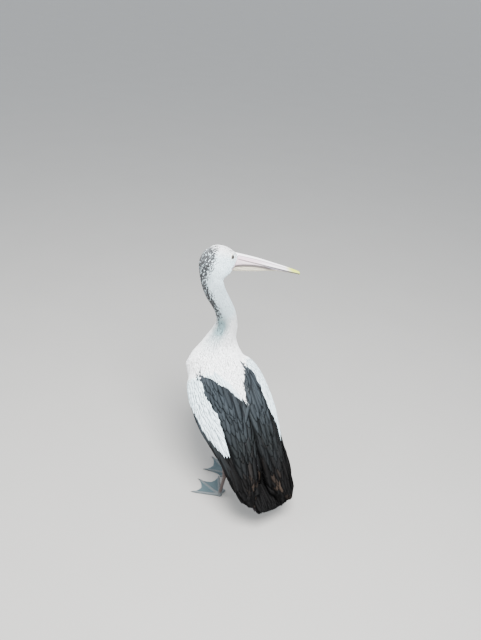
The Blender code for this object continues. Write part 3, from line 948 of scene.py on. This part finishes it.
scapulars = {
    "length": ((-0.05, 0.034), (0.0, 0.06), (0.05, 0.105), (0.15, 0.145), (0.3, 0.165), (0.5, 0.12)),
    "spacing": ((-0.05, 0.0055), (0.0, 0.0085), (0.05, 0.0135), (0.15, 0.0175), (0.5, 0.02)),
    "width": ((-0.05, 0.0105), (0.0, 0.016), (0.05, 0.024), (0.15, 0.03), (0.3, 0.034), (0.5, 0.03)),
    "seenAhead": ((-0.05, 0.004), (0.05, 0.012)),     # how far back from its root a feather first shows
    "inside": ((0.01, 0.0), (0.06, 0.0085)),     # how far it keeps inside the patch's outer edge
    "lift": 0.0032, "askew": 2.0,
    "tipClear": 0.04,      # roots keep this far from the wing's tip, and the feathers' ends this far:
    "endClear": 0.012,
    "colourBehind": 0.04,   # a feather takes its colour from this far behind its root
    # brown ones: where they come in, how far from the tip and from the middle they end, and their share
    "brownFrom": (0.18, 0.2), "brownTip": (0.06, 0.06), "brownOut": (0.11, -0.03), "brownShare": 0.35,
    "streak": (0.11, 0.34, 0.045),     # paler streak on the left: behind from and to, and how far out
    "blade": ((0.0, 0.3), (0.12, 0.62), (0.3, 0.92), (0.5, 1.0), (0.7, 0.93), (0.85, 0.7), (0.95, 0.38),
              (1.0, 0.08)),
    "sides": 4, "thick": 0.02, "camber": 0.05, "steps": 7,
}


def makeDarkFeathers(side):
    def toTip(places):
        return (wingTips[side] - places) @ -forwardWay

    def allowed(places, kinds):
        seen = places + wingCourse(places, side) * alongBody(scapulars["seenAhead"], places)[:, None]
        edge = seen + leftWay * signs[side] * alongBody(scapulars["inside"], places)[:, None]
        mine = isKind(kinds, "trunk") & (onBody(places)[1] * signs[side] > 0.0)
        mine |= isKind(kinds, "wing_" + side)
        return (mine & darkPlumage(seen, kinds) & darkPlumage(edge, kinds)
                & (toTip(places) > scapulars["tipClear"]))

    coat = offSeam(scatter(lambda places: alongBody(scapulars["spacing"], places), allowed), side)
    places = coat["places"]
    count = len(places)
    behind, out, _ = onBody(places)
    out = abs(out)
    room = toTip(places)
    coat["lies"] = askew(coat, scapulars["askew"])
    lengths = along(scapulars["length"], behind) * draws.uniform(0.85, 1.15, count)
    longest = (room - scapulars["endClear"]) * draws.uniform(0.86, 1.0, count)
    coat["lengths"] = np.minimum(lengths, longest)
    colours = plumage(places - forwardWay * scapulars["colourBehind"], coat["kinds"])
    colours *= draws.uniform(0.75, 1.2, (count, 1))
    brown = fade(behind, *scapulars["brownFrom"]) * fade(room, *scapulars["brownTip"])
    brown *= (draws.random(count) < scapulars["brownShare"]) * draws.uniform(0.2, 0.8, count)
    coat["colours"] = blend(colours, pigment["brown"], brown * fade(out, *scapulars["brownOut"]))
    first, last, reach = scapulars["streak"]
    streak = (behind > first) & (behind < last) & (out < reach) & (side == "left")
    coat["tones"] = np.where(streak, draws.uniform(0.78, 1.0, count), draws.uniform(0.0, 0.6, count))
    coat["widths"] = along(scapulars["width"], behind) * draws.uniform(0.85, 1.15, count)
    coat["lifts"] = np.full(count, scapulars["lift"])
    layCoat("darkFeathers_" + side, scapulars, coat, darkFinish)


tailFeathers = {
    "spacing": 0.012, "width": 0.025, "lift": 0.0028, "askew": 2.0,
    "rootClear": 0.04,      # of the end of the tail
    "blade": scapulars["blade"], "sides": 4, "thick": 0.03, "camber": 0.09, "steps": 6,
}


def makeTailFeathers():
    end = onBody(skinPlaces[isKind(skinKinds, "tail")])[0].max()

    def allowed(places, kinds):
        return isKind(kinds, "tail") & (onBody(places)[0] < end - tailFeathers["rootClear"])

    coat = scatter(lambda places: np.full(len(places), tailFeathers["spacing"]), allowed)
    room = end - onBody(coat["places"])[0]
    count = len(room)
    coat["lies"] = askew(coat, tailFeathers["askew"])
    coat["colours"] = plumage(coat["places"], coat["kinds"])
    coat["lengths"] = np.clip(room * draws.uniform(0.86, 0.98, count), 0.02, 0.14)
    coat["widths"] = np.full(count, tailFeathers["width"])
    coat["lifts"] = np.full(count, tailFeathers["lift"])
    layCoat("tailFeathers", tailFeathers, coat, darkFinish)


for side in signs:
    makeCoverts(side)
    makeDarkFeathers(side)
makeTailFeathers()


# The bill: its solids as smooth horn, with the ridge, grooves and folds worked into them

bill = {
    "grow": 0.0, "voxel": 0.0012, "smoothing": 4,
    "ridge": 0.68, "ridgeWidth": 0.085, "ridgeDepth": 0.0012,     # groove beside the ridge, by half width
    "side": 0.9, "sideWidth": 0.05, "sideDepth": 0.0005,
    # share of the lower bill's height where the pouch hangs from the jaw, by the length
    "jaw": ((0.0, 0.46), (0.1, 0.58), (0.27, 0.69), (0.42, 0.7), (0.6, 0.45), (1.0, 0.2)),
    "jawDepth": 0.001, "jawWidth": 0.005,
    "jawEnd": (0.62, -0.2),     # where its crease fades, by the length
    "jawShadeLine": 2.3,             # how dark its painted shade is drawn
    "shadeLineWidth": 0.0026,        # half width of the painted shade line between the halves
    "line": ((0.0, 0.35), (0.25, 0.55), (0.45, 0.9), (1.0, 1.0)),     # its darkness, by the length
    "folds": 34.0, "foldDepth": 0.0004, "foldEdge": 0.003,
}


def courseOf(places):
    # shares of the length, half width and height, and how far above the lower and below the upper edge
    forward, up, out = onHead(places)
    course = (forward - forward.min()) / (forward.max() - forward.min())
    steps = np.linspace(0.0, 1.0, 60)
    rings = [abs(course - step) < 0.012 for step in steps]
    halves = np.interp(course, steps, [abs(out[ring]).max() for ring in rings])
    lows = np.interp(course, steps, [up[ring].min() for ring in rings])
    highs = np.interp(course, steps, [up[ring].max() for ring in rings])
    shares = np.column_stack([course, out / halves, (up - lows) / (highs - lows)])
    return shares, up - lows, highs - up


def ditch(value, centre, width):
    return np.exp(-((value - centre) / width) ** 2)


def upperRelief(shares, rise, _):
    # depth of the grooves, and darkness of the painted shade line along the gape
    course, across, height = shares.T
    dents = ditch(abs(across), bill["ridge"], bill["ridgeWidth"]) * bill["ridgeDepth"]
    dents += ditch(abs(across), bill["side"], bill["sideWidth"]) * bill["sideDepth"]
    dents *= fade(course, 0.0, 0.04) * fade(course, 0.95, -0.06) * fade(height, 0.25, 0.2)
    return dents, ditch(rise, 0.0, bill["shadeLineWidth"]) * along(bill["line"], course)


def lowerRelief(shares, rise, drop):
    course, across, height = shares.T
    below = (along(bill["jaw"], course) - height) * (rise + drop)
    shadedCrease = ditch(below, 0.0, bill["jawWidth"]) * fade(course, *bill["jawEnd"])
    pouch = fade(below, 0.0, bill["foldEdge"])
    bends = 2.5 * np.sin(course * 9.0) + 1.5 * np.sin(course * 31.0 + across * 4.0)
    dents = shadedCrease * bill["jawDepth"] + pouch * np.sin(height * bill["folds"] + bends) * bill["foldDepth"]
    # painted shade along the gape, and in the crease where the pouch hangs from the jaw
    gape = ditch(drop, 0.0, bill["shadeLineWidth"]) * along(bill["line"], course)
    lines = np.maximum(gape, np.minimum(shadedCrease * bill["jawShadeLine"], 1.0))
    return dents * fade(course, 0.0, 0.03) * fade(course, 0.9, -0.2), lines


def makeBillPart(name, solids, relief, finish):
    piece, bm = moulded(name, solids, bill, finish)
    shares, rise, drop = courseOf(np.array([vert.co for vert in bm.verts]))
    dents, lines = relief(shares, rise, drop)
    for vert, depth in zip(bm.verts, dents):
        vert.co -= vert.normal * depth
    store(piece, bm)
    mark(piece, "course", shares)
    mark(piece, "lines", lines)
    if name == "billLower":
        mark(piece, "jaw", shares[:, 2] - along(bill["jaw"], shares[:, 0]))
    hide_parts(*solids)
    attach(piece, "root")
    print(name, len(piece.data.polygons), "faces")


horn = {
    "pink": ((0.0, (0.66, 0.5, 0.56)), (0.25, (0.72, 0.57, 0.62)), (0.6, (0.76, 0.68, 0.71)),
             (1.0, (0.74, 0.73, 0.6))),
    "streak": (0.5, 0.38, 0.43), "ridge": (0.88, 0.86, 0.86), "band": (0.9, 0.88, 0.89),
    # groove: painted shade in the grooves beside the ridge
    # line: painted shade along the gape
    "grooveShade": (0.27, 0.23, 0.27), "tip": (0.52, 0.58, 0.045), "line": (0.075, 0.065, 0.055),
    "grooves": ((bill["ridge"], 0.13, 0.85), (bill["side"], 0.05, 0.3)),    # centre, half width and strength of the painted shade in each groove
}
pouchSkin = {
    "pale": ((0.6, 0.54, 0.41), (0.74, 0.69, 0.56)),
    # along the jaw: pink near the root, from halfway a darker lilac-grey that is painted shade on the
    # lower bill's side, yellowish at the tip
    "jaw": ((0.0, (0.72, 0.57, 0.61)), (0.35, (0.74, 0.64, 0.67)), (0.5, (0.33, 0.31, 0.37)),
            (0.8, (0.26, 0.25, 0.27)), (1.0, (0.3, 0.3, 0.1))),
    "streak": (0.6, 0.52, 0.55), "vein": (0.55, 0.36, 0.33), "line": (0.06, 0.052, 0.052),
}


def makeUpperFinish():
    shader = Shader("bill horn", 0.42, 0.5)
    shares = shader.attribute("course", "Vector")
    course, across, height = shader.split(shares)
    side = shader.maths("ABSOLUTE", across)
    streaks = shader.noise(3.0, 5.0, shader.stretched(shares, (4.0, 9.0, 6.0)))
    streak = shader.between(streaks, 0.35, 0.75) * 0.45
    colour = shader.mix(streak, shader.ramp(course, horn["pink"]), horn["streak"])
    ridge = shader.between(side, bill["ridge"] + 0.04, bill["ridge"] - 0.1)
    colour = shader.mix(ridge * shader.between(height, 0.3, 0.5) * 0.95, colour, horn["ridge"])
    band = shader.between(height, 0.6, 0.35) * shader.between(course, 0.25, 0.45)
    colour = shader.mix(band * 0.9, colour, horn["band"])
    # painted shade in the grooves beside the ridge and down the side
    for centre, width, strength in horn["grooves"]:
        gap = side - centre
        grooveShade = shader.between(gap * gap, width * width, 0.0) * shader.between(height, 0.1, 0.3)
        grooveShade = grooveShade * shader.between(course, 0.98, 0.85) * strength
        colour = shader.mix(grooveShade, colour, horn["grooveShade"])
    green = shader.between(course + (streaks - 0.5) * 0.08, 0.7, 0.84)
    colour = shader.mix(green * shader.between(height, -0.4, 0.5), colour, horn["tip"])
    # painted shade along the gape
    colour = shader.mix(shader.attribute("lines") * 0.92, colour, horn["line"])
    relief = streaks * 0.4 + shader.noise(900.0, 2.0) * 0.2
    rough = 0.34 + streaks * 0.2
    return shader.finished(colour, relief, 0.35, 0.0008, rough)


def makeLowerFinish():
    shader = Shader("pouch skin", 0.55, 0.4)
    shares = shader.attribute("course", "Vector")
    course = shader.split(shares)[0]
    streaks = shader.noise(3.0, 5.0, shader.stretched(shares, (7.0, 3.0, 14.0)))
    # the jaw's colour, with painted shade further along its side
    jaw = shader.mix(streaks * 0.3, shader.ramp(course, pouchSkin["jaw"]), pouchSkin["streak"])
    pouch = shader.mix(streaks, *pouchSkin["pale"])
    colour = shader.mix(shader.between(shader.attribute("jaw"), -0.03, 0.03), pouch, jaw)
    veins = shader.between(shader.noise(160.0, 6.0), 0.56, 0.7)
    colour = shader.mix(veins * 0.18, colour, pouchSkin["vein"])
    # painted shade along the gape and in the jaw's crease
    colour = shader.mix(shader.attribute("lines") * 0.92, colour, pouchSkin["line"])
    relief = streaks * 0.6 + shader.noise(700.0, 3.0) * 0.3
    return shader.finished(colour, relief, 0.4, 0.001)


makeBillPart("billUpper", ("bill_upper", "nail"), upperRelief, makeUpperFinish())
makeBillPart("billLower", ("bill_lower",), lowerRelief, makeLowerFinish())


# Eyes: a ball with a dark iris, in a bare ring of skin with lids

eye = {
    "gaze": (0.34, 0.22, 1.0),     # forward, up and out
    "segments": 40, "rings": 24,
    "around": 40,
    # reach in ball radii, and how proud the lid stands
    "lidRings": ((0.96, 0.0002), (1.0, 0.0008), (1.08, 0.0011), (1.18, 0.001), (1.32, 0.0008),
                 (1.46, 0.0004), (1.6, -0.001)),
    "ontoSkin": (0.8, 0.45), "rounding": (1.2, 0.4),     # where the lids leave the ball, and turn round
    "narrow": 0.6,      # width of the opening, as a share of its length
    "slant": 36.0,       # how far the opening rises towards the bill, in degrees
    "thick": 0.0012,
    "pupil": 0.5, "iris": 0.93,   # sines of their angles on the ball
    "irisColours": ((0.008, 0.005, 0.003), (0.022, 0.012, 0.007)),
    "black": (0.002, 0.002, 0.002), "white": (0.05, 0.035, 0.03),
    # the dark on the lids round the opening: partly their own dark edge, partly painted shade round the
    # eye and in its corners
    "lidColours": ((0.74, 0.7, 0.56), (0.82, 0.8, 0.72)), "lidEdgeAndShade": (0.016, 0.014, 0.013),
}


def eyeAxes(side):
    # centre and radius of the ball, where it looks, and the ways to the bill and up across that
    low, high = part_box("eye_" + side)
    forward, up, out = eye["gaze"]
    gaze = (headForward * forward + headUp * up + headLeft * out * signs[side]).normalized()
    front = (headForward - gaze * headForward.dot(gaze)).normalized()
    return (low + high) / 2, (high.z - low.z) / 2, gaze, front, front.cross(gaze) * signs[side]


def makeBall(side, finish):
    centre, radius, gaze, front, _ = eyeAxes(side)
    bm = bmesh.new()
    bmesh.ops.create_uvsphere(bm, u_segments=eye["segments"], v_segments=eye["rings"], radius=radius)
    turn = Matrix((front, gaze.cross(front), gaze)).transposed().to_4x4()
    bmesh.ops.transform(bm, matrix=Matrix.Translation(centre) @ turn, verts=bm.verts)
    bmesh.ops.recalc_face_normals(bm, faces=bm.faces)
    reach = np.array([(vert.co - centre).normalized().dot(gaze) for vert in bm.verts])
    piece = pieceFrom("eyeball_" + side, bm, finish)
    mark(piece, "gaze", reach)
    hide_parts("eye_" + side)
    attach(piece, "root")


def lidHeight(centre, radius, gaze, side, reach):
    # height above the eye's centre at that place beside the gaze: on the ball, or on the skin past it
    hit = skinTree.ray_cast(centre + gaze * 0.04 + side * reach, -gaze)[0]
    onSkin = max((hit - centre).dot(gaze), 0.0) if hit else 0.0
    onBall = math.sqrt(max(radius ** 2 - reach ** 2, 0.0))
    share = fade(reach / radius, *eye["ontoSkin"])
    share = share * share * (3 - 2 * share)
    return onBall * (1 - share) + onSkin * share


def makeLids(side, finish):
    centre, radius, gaze, front, rise = eyeAxes(side)
    slant = math.radians(eye["slant"])
    longWay = front * math.cos(slant) + rise * math.sin(slant)
    shortWay = rise * math.cos(slant) - front * math.sin(slant)
    outer = [(*ring, 0.0) for ring in eye["lidRings"]]
    inner = [(*ring, eye["thick"]) for ring in eye["lidRings"]]
    rings = outer + inner[::-1]
    bm = bmesh.new()
    loops = []
    for turn in range(eye["around"]):
        angle = 2 * math.pi * turn / eye["around"]
        verts = bmesh.ops.create_circle(bm, segments=len(rings), radius=1.0)["verts"]
        for vert, (reach, proud, depth) in zip(verts, rings):
            squeeze = eye["narrow"] + (1 - eye["narrow"]) * fade(reach, *eye["rounding"])
            away = longWay * math.cos(angle) + shortWay * math.sin(angle) * squeeze
            distance = reach * radius * away.length
            height = lidHeight(centre, radius, gaze, away.normalized(), distance) + proud
            vert.co = centre + away.normalized() * distance + gaze * (height - depth)
        loops.append(edgesOf(verts))
    bridge(bm, loops + loops[:1])
    bmesh.ops.recalc_face_normals(bm, faces=bm.faces)
    piece = pieceFrom("lids_" + side, bm, finish)
    mark(piece, "reach", np.tile([ring[0] for ring in rings], eye["around"]))
    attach(piece, "root")


def makeBallFinish():
    shader = Shader("eye", 0.06, 0.6, Coat_Weight=1.0, Coat_Roughness=0.03)
    gaze = shader.attribute("gaze")
    aside = 1.0 - gaze * gaze     # square of the sine
    pupil, iris = eye["pupil"] ** 2, eye["iris"] ** 2
    colour = shader.mix(shader.noise(900.0, 4.0), *eye["irisColours"])
    colour = shader.mix(shader.between(aside, pupil - 0.02, pupil + 0.02), eye["black"], colour)
    colour = shader.mix(shader.between(aside, iris - 0.05, iris + 0.05), colour, eye["white"])
    return shader.finished(colour)


def makeLidFinish():
    shader = Shader("bare skin", 0.5, 0.4)
    reach = shader.attribute("reach")
    creases = shader.maths("SINE", reach * 70.0 + shader.noise(300.0) * 6.0)
    pale = shader.mix(shader.noise(400.0, 4.0), *eye["lidColours"])
    # dark lids round the opening: partly their own dark edge, partly painted shade
    colour = shader.mix(shader.between(reach, 1.42, 1.32), pale, eye["lidEdgeAndShade"])
    relief = creases * 0.4 + shader.noise(900.0, 3.0)
    return shader.finished(colour, relief, 0.45, 0.0006)


ballFinish = makeBallFinish()
lidFinish = makeLidFinish()
for side in signs:
    makeBall(side, ballFinish)
    makeLids(side, lidFinish)
print("head done")


# Legs: shank and webbed foot as one scaly skin, with horn claws

legs = {
    "grow": 0.0003, "voxel": 0.0013, "smoothing": 2,
    "toes": (-80.0, -42.0, 0.0, 38.0),                  # outward from the foot's heading
    "headings": {"left": 18.0, "right": 8.0},
    "toeWidth": 0.006,                                  # half width looked at for a toe's end
    "claw": (0.003, 0.0006, 0.012),                    # radius at the root and the tip, length
    "clawRise": 0.0035, "clawDroop": 0.0022, "clawSlim": 0.75,
    "floor": 0.0002,                                    # a claw stays this high
    "web": ((0.02, 0.046, 0.054), (0.04, 0.075, 0.085)),
    "toe": ((0.048, 0.068, 0.074), (0.105, 0.112, 0.112)),
    # shank: a dark brown, partly the legs' own colour and partly painted shade
    "shank": ((0.036, 0.024, 0.021), (0.07, 0.049, 0.043)),
    "scaleSeam": (0.06, 0.05, 0.055),
    "horn": ((0.025, 0.02, 0.018), (0.09, 0.075, 0.065)),
}


def makeLeg(side, finish):
    solids = ("shank_" + side, "foot_" + side)
    piece, bm = moulded("leg_" + side, solids, legs, finish)
    store(piece, bm)
    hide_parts(*solids)
    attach(piece, "root")
    print(piece.name, len(piece.data.polygons), "faces")


def makeClaws(side, finish):
    mount = next(item for item in frame["record"]["mounts"] if item["name"] == side + "_sole")
    knuckle = Vector(mount["pos_m"])
    offset = vertsOf(nodes["foot_" + side].data) - np.array(mount["pos_m"])
    base, tip, reach = legs["claw"]
    joined = bmesh.new()
    for toe in legs["toes"]:
        angle = math.radians(legs["headings"][side] + signs[side] * toe)
        way = Vector((math.sin(angle), -math.cos(angle), 0.0))
        aside = Vector((-way.y, way.x, 0.0))
        ahead = offset @ np.array(way)
        onToe = (abs(offset @ np.array(aside)) < legs["toeWidth"]) & (ahead > 0.0)
        start = ahead[onToe].max() - reach
        claw = bmesh.new()
        bmesh.ops.create_cone(claw, cap_ends=True, segments=12, radius1=base, radius2=tip, depth=reach)
        bmesh.ops.subdivide_edges(claw, edges=claw.edges, cuts=2, use_grid_fill=True)
        for vert in claw.verts:
            share = vert.co.z / reach + 0.5
            height = vert.co.y + legs["clawRise"] - legs["clawDroop"] * share ** 2
            vert.co = (way * (start + share * reach) + aside * vert.co.x * legs["clawSlim"]
                       + Vector((0, 0, height)) + knuckle)
            vert.co.z = max(vert.co.z, legs["floor"])
        addTo(joined, claw)
    bmesh.ops.recalc_face_normals(joined, faces=joined.faces)
    piece = pieceFrom("claws_" + side, joined, finish)
    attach(piece, "root")


def makeLegFinish():
    shader = Shader("leg skin", 0.5, 0.4)
    place = shader.place()
    height = shader.split(place)[2]
    edges = {"feature": "DISTANCE_TO_EDGE"}
    cells = shader.node("ShaderNodeTexVoronoi", edges, {"Vector": place, "Scale": 330.0})
    fine = shader.noise(500.0, 4.0)
    patches = shader.noise(28.0, 3.0)
    web, shank = (shader.mix(patches, *legs[part]) for part in ("web", "shank"))
    toe = shader.mix(fine, *legs["toe"])
    colour = shader.mix(shader.between(height, 0.003, 0.0075), web, toe)
    # the shank's dark brown, partly painted shade
    colour = shader.mix(shader.between(height, 0.014, 0.04), colour, shank)
    colour = shader.mix(shader.between(cells, 0.12, 0.0) * 0.45, colour, legs["scaleSeam"])
    relief = shader.between(cells, 0.0, 0.2) + fine * 0.3
    rough = 0.42 + fine * 0.2
    return shader.finished(colour, relief, 0.5, 0.0008, rough)


def makeClawFinish():
    shader = Shader("claw horn", 0.35, 0.5)
    grain = shader.noise(600.0, 4.0)
    colour = shader.mix(grain, *legs["horn"])
    return shader.finished(colour, grain, 0.3, 0.0004)


legFinish = makeLegFinish()
clawFinish = makeClawFinish()
for side in signs:
    makeLeg(side, legFinish)
    makeClaws(side, clawFinish)


# Floor, light and camera

view = {
    "fromShoulder": (1.169, 2.075, 1.71),
    "heading": 149.404, "down": 30.526, "roll": 5.264,
    "lens": 38.44,
}
stage = {
    "floor": ((0.255, 0.247, 0.232), (0.27, 0.262, 0.247)),
    "sky": (0.86, 0.92, 1.0, 1.0), "skyStrength": 1.75,
    # place, size and power
    "lamps": {"key": ((0.6, 1.6, 3.4), 1.6, 640.0), "fill": ((2.6, -0.6, 2.2), 2.2, 70.0)},
}


def makeStage():
    bm = bmesh.new()
    bmesh.ops.create_grid(bm, x_segments=1, y_segments=1, size=40.0)
    shader = Shader("floor", 0.85)
    floor = pieceFrom("floor", bm, shader.finished(shader.mix(shader.noise(3.0), *stage["floor"])))

    world = bpy.data.worlds.new("sky")
    world.use_nodes = True
    sky = world.node_tree.nodes["Background"].inputs
    sky["Color"].default_value = stage["sky"]
    sky["Strength"].default_value = stage["skyStrength"]
    bpy.context.scene.world = world
    low, high = (Vector(corner) for corner in cadBox)
    for name, (place, size, power) in stage["lamps"].items():
        light = bpy.data.lights.new(name, "AREA")
        light.size = size
        light.energy = power
        lamp = put(name, light)
        lamp.location = place
        aim = (low + high) / 2 - Vector(place)
        lamp.rotation_euler = aim.to_track_quat("-Z", "Y").to_euler()


def makeCamera():
    camera = bpy.data.cameras.new("camera")
    camera.lens = view["lens"]
    camera.sensor_width = 36.0
    holder = put("camera", camera)
    turns = (view["heading"], "Z"), (90.0 - view["down"], "X"), (view["roll"], "Z")
    place = Matrix.Translation(shoulder + Vector(view["fromShoulder"]))
    for degrees, axis in turns:
        place = place @ Matrix.Rotation(math.radians(degrees), 4, axis)
    holder.matrix_world = place
    bpy.context.scene.camera = holder


makeStage()
makeCamera()
